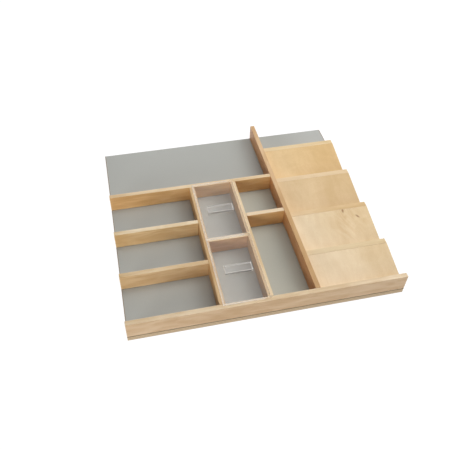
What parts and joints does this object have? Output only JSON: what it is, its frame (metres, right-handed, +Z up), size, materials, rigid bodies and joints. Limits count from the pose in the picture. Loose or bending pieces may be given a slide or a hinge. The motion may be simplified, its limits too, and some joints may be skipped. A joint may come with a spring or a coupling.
{
  "type": "drawer organizer insert",
  "caption": "Flat wooden drawer organizer with railed compartments, clear lift-off lids over the middle bays and a bank of sloped tiers.",
  "frame": {"origin": "middle of the underside, on the surface that the insert rests on", "axes": "+X to the right along the front rail, +Y towards the back of the drawer, +Z up"},
  "size_m": [0.56, 0.53, 0.0599],
  "materials": {
    "rail_wood": "satin clear lacquer on birch",
    "tier_wood": "satin clear lacquer on birch veneer",
    "base_ply": "bare plywood",
    "laminate": "smooth matte grey laminate",
    "acrylic": "clear, with polished edges",
    "screw_steel": "zinc plated"
  },
  "bodies": {
    "tray": {"base_board": "base_ply", "base_laminate": "laminate", "cell_cross_piece": "rail_wood", "cross_rail": "rail_wood", "front_rail": "rail_wood", "left_divider_back": "rail_wood", "left_divider_front": "rail_wood", "lid_cross_piece": "rail_wood", "lid_rail_left": "rail_wood", "lid_rail_right": "rail_wood", "long_divider": "rail_wood", "screw_cell_cross_piece_1": "screw_steel", "screw_cross_rail_1": "screw_steel", "screw_cross_rail_2": "screw_steel", "screw_cross_rail_3": "screw_steel", "screw_front_rail_1": "screw_steel", "screw_front_rail_2": "screw_steel", "screw_front_rail_3": "screw_steel", "screw_left_divider_back_1": "screw_steel", "screw_left_divider_front_1": "screw_steel", "screw_lid_cross_piece_1": "screw_steel", "screw_lid_rail_left_1": "screw_steel", "screw_lid_rail_left_2": "screw_steel", "screw_lid_rail_right_1": "screw_steel", "screw_lid_rail_right_2": "screw_steel", "screw_long_divider_1": "screw_steel", "screw_long_divider_2": "screw_steel", "screw_long_divider_3": "screw_steel", "screw_tier_riser_1_1": "screw_steel", "screw_tier_riser_1_2": "screw_steel", "screw_tier_riser_2_1": "screw_steel", "screw_tier_riser_2_2": "screw_steel", "screw_tier_riser_3_1": "screw_steel", "screw_tier_riser_3_2": "screw_steel", "screw_tier_riser_4_1": "screw_steel", "screw_tier_riser_4_2": "screw_steel", "tier_panel_1": "tier_wood", "tier_panel_2": "tier_wood", "tier_panel_3": "tier_wood", "tier_panel_4": "tier_wood", "tier_riser_1": "tier_wood", "tier_riser_2": "tier_wood", "tier_riser_3": "tier_wood", "tier_riser_4": "tier_wood", "tier_wedge_left_1": "tier_wood", "tier_wedge_left_2": "tier_wood", "tier_wedge_left_3": "tier_wood", "tier_wedge_left_4": "tier_wood", "tier_wedge_right_1": "tier_wood", "tier_wedge_right_2": "tier_wood", "tier_wedge_right_3": "tier_wood", "tier_wedge_right_4": "tier_wood"},
    "lid_back": {"lid_back": "acrylic", "lid_back_pull": "acrylic"},
    "lid_front": {"lid_front": "acrylic", "lid_front_pull": "acrylic"}
  },
  "joints": [
    {"name": "lid_back_lift", "type": "slide", "parent": "tray", "child": "lid_back", "axis": [0, 0, 1], "range_m": [0, 0.06]},
    {"name": "lid_front_lift", "type": "slide", "parent": "tray", "child": "lid_front", "axis": [0, 0, 1], "range_m": [0, 0.06]}
  ]
}
